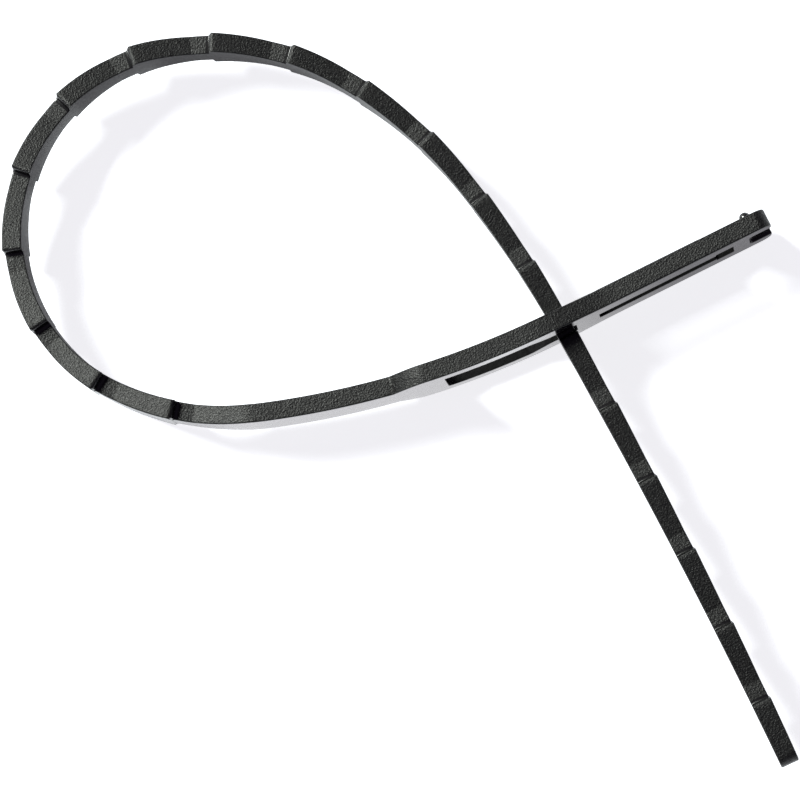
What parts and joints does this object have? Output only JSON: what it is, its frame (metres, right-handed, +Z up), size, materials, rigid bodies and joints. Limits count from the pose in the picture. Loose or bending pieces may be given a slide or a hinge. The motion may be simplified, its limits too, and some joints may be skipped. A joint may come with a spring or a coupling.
{
  "type": "cable tie",
  "caption": "Reusable black cable tie moulded in one piece, closed into a loop with its notched tail locked in the window of its flat head.",
  "frame": {"origin": "on the resting plane, at the middle of the head's lower edge where the head is widest", "axes": "+X along the head towards its free end, +Y from the head into the loop, +Z up along the strap's width"},
  "size_m": [0.071, 0.0939, 0.0103],
  "materials": {
    "tie": "fine grained satin black, moulded"
  },
  "bodies": {
    "root": {"cable_tie": "tie"}
  },
  "joints": []
}
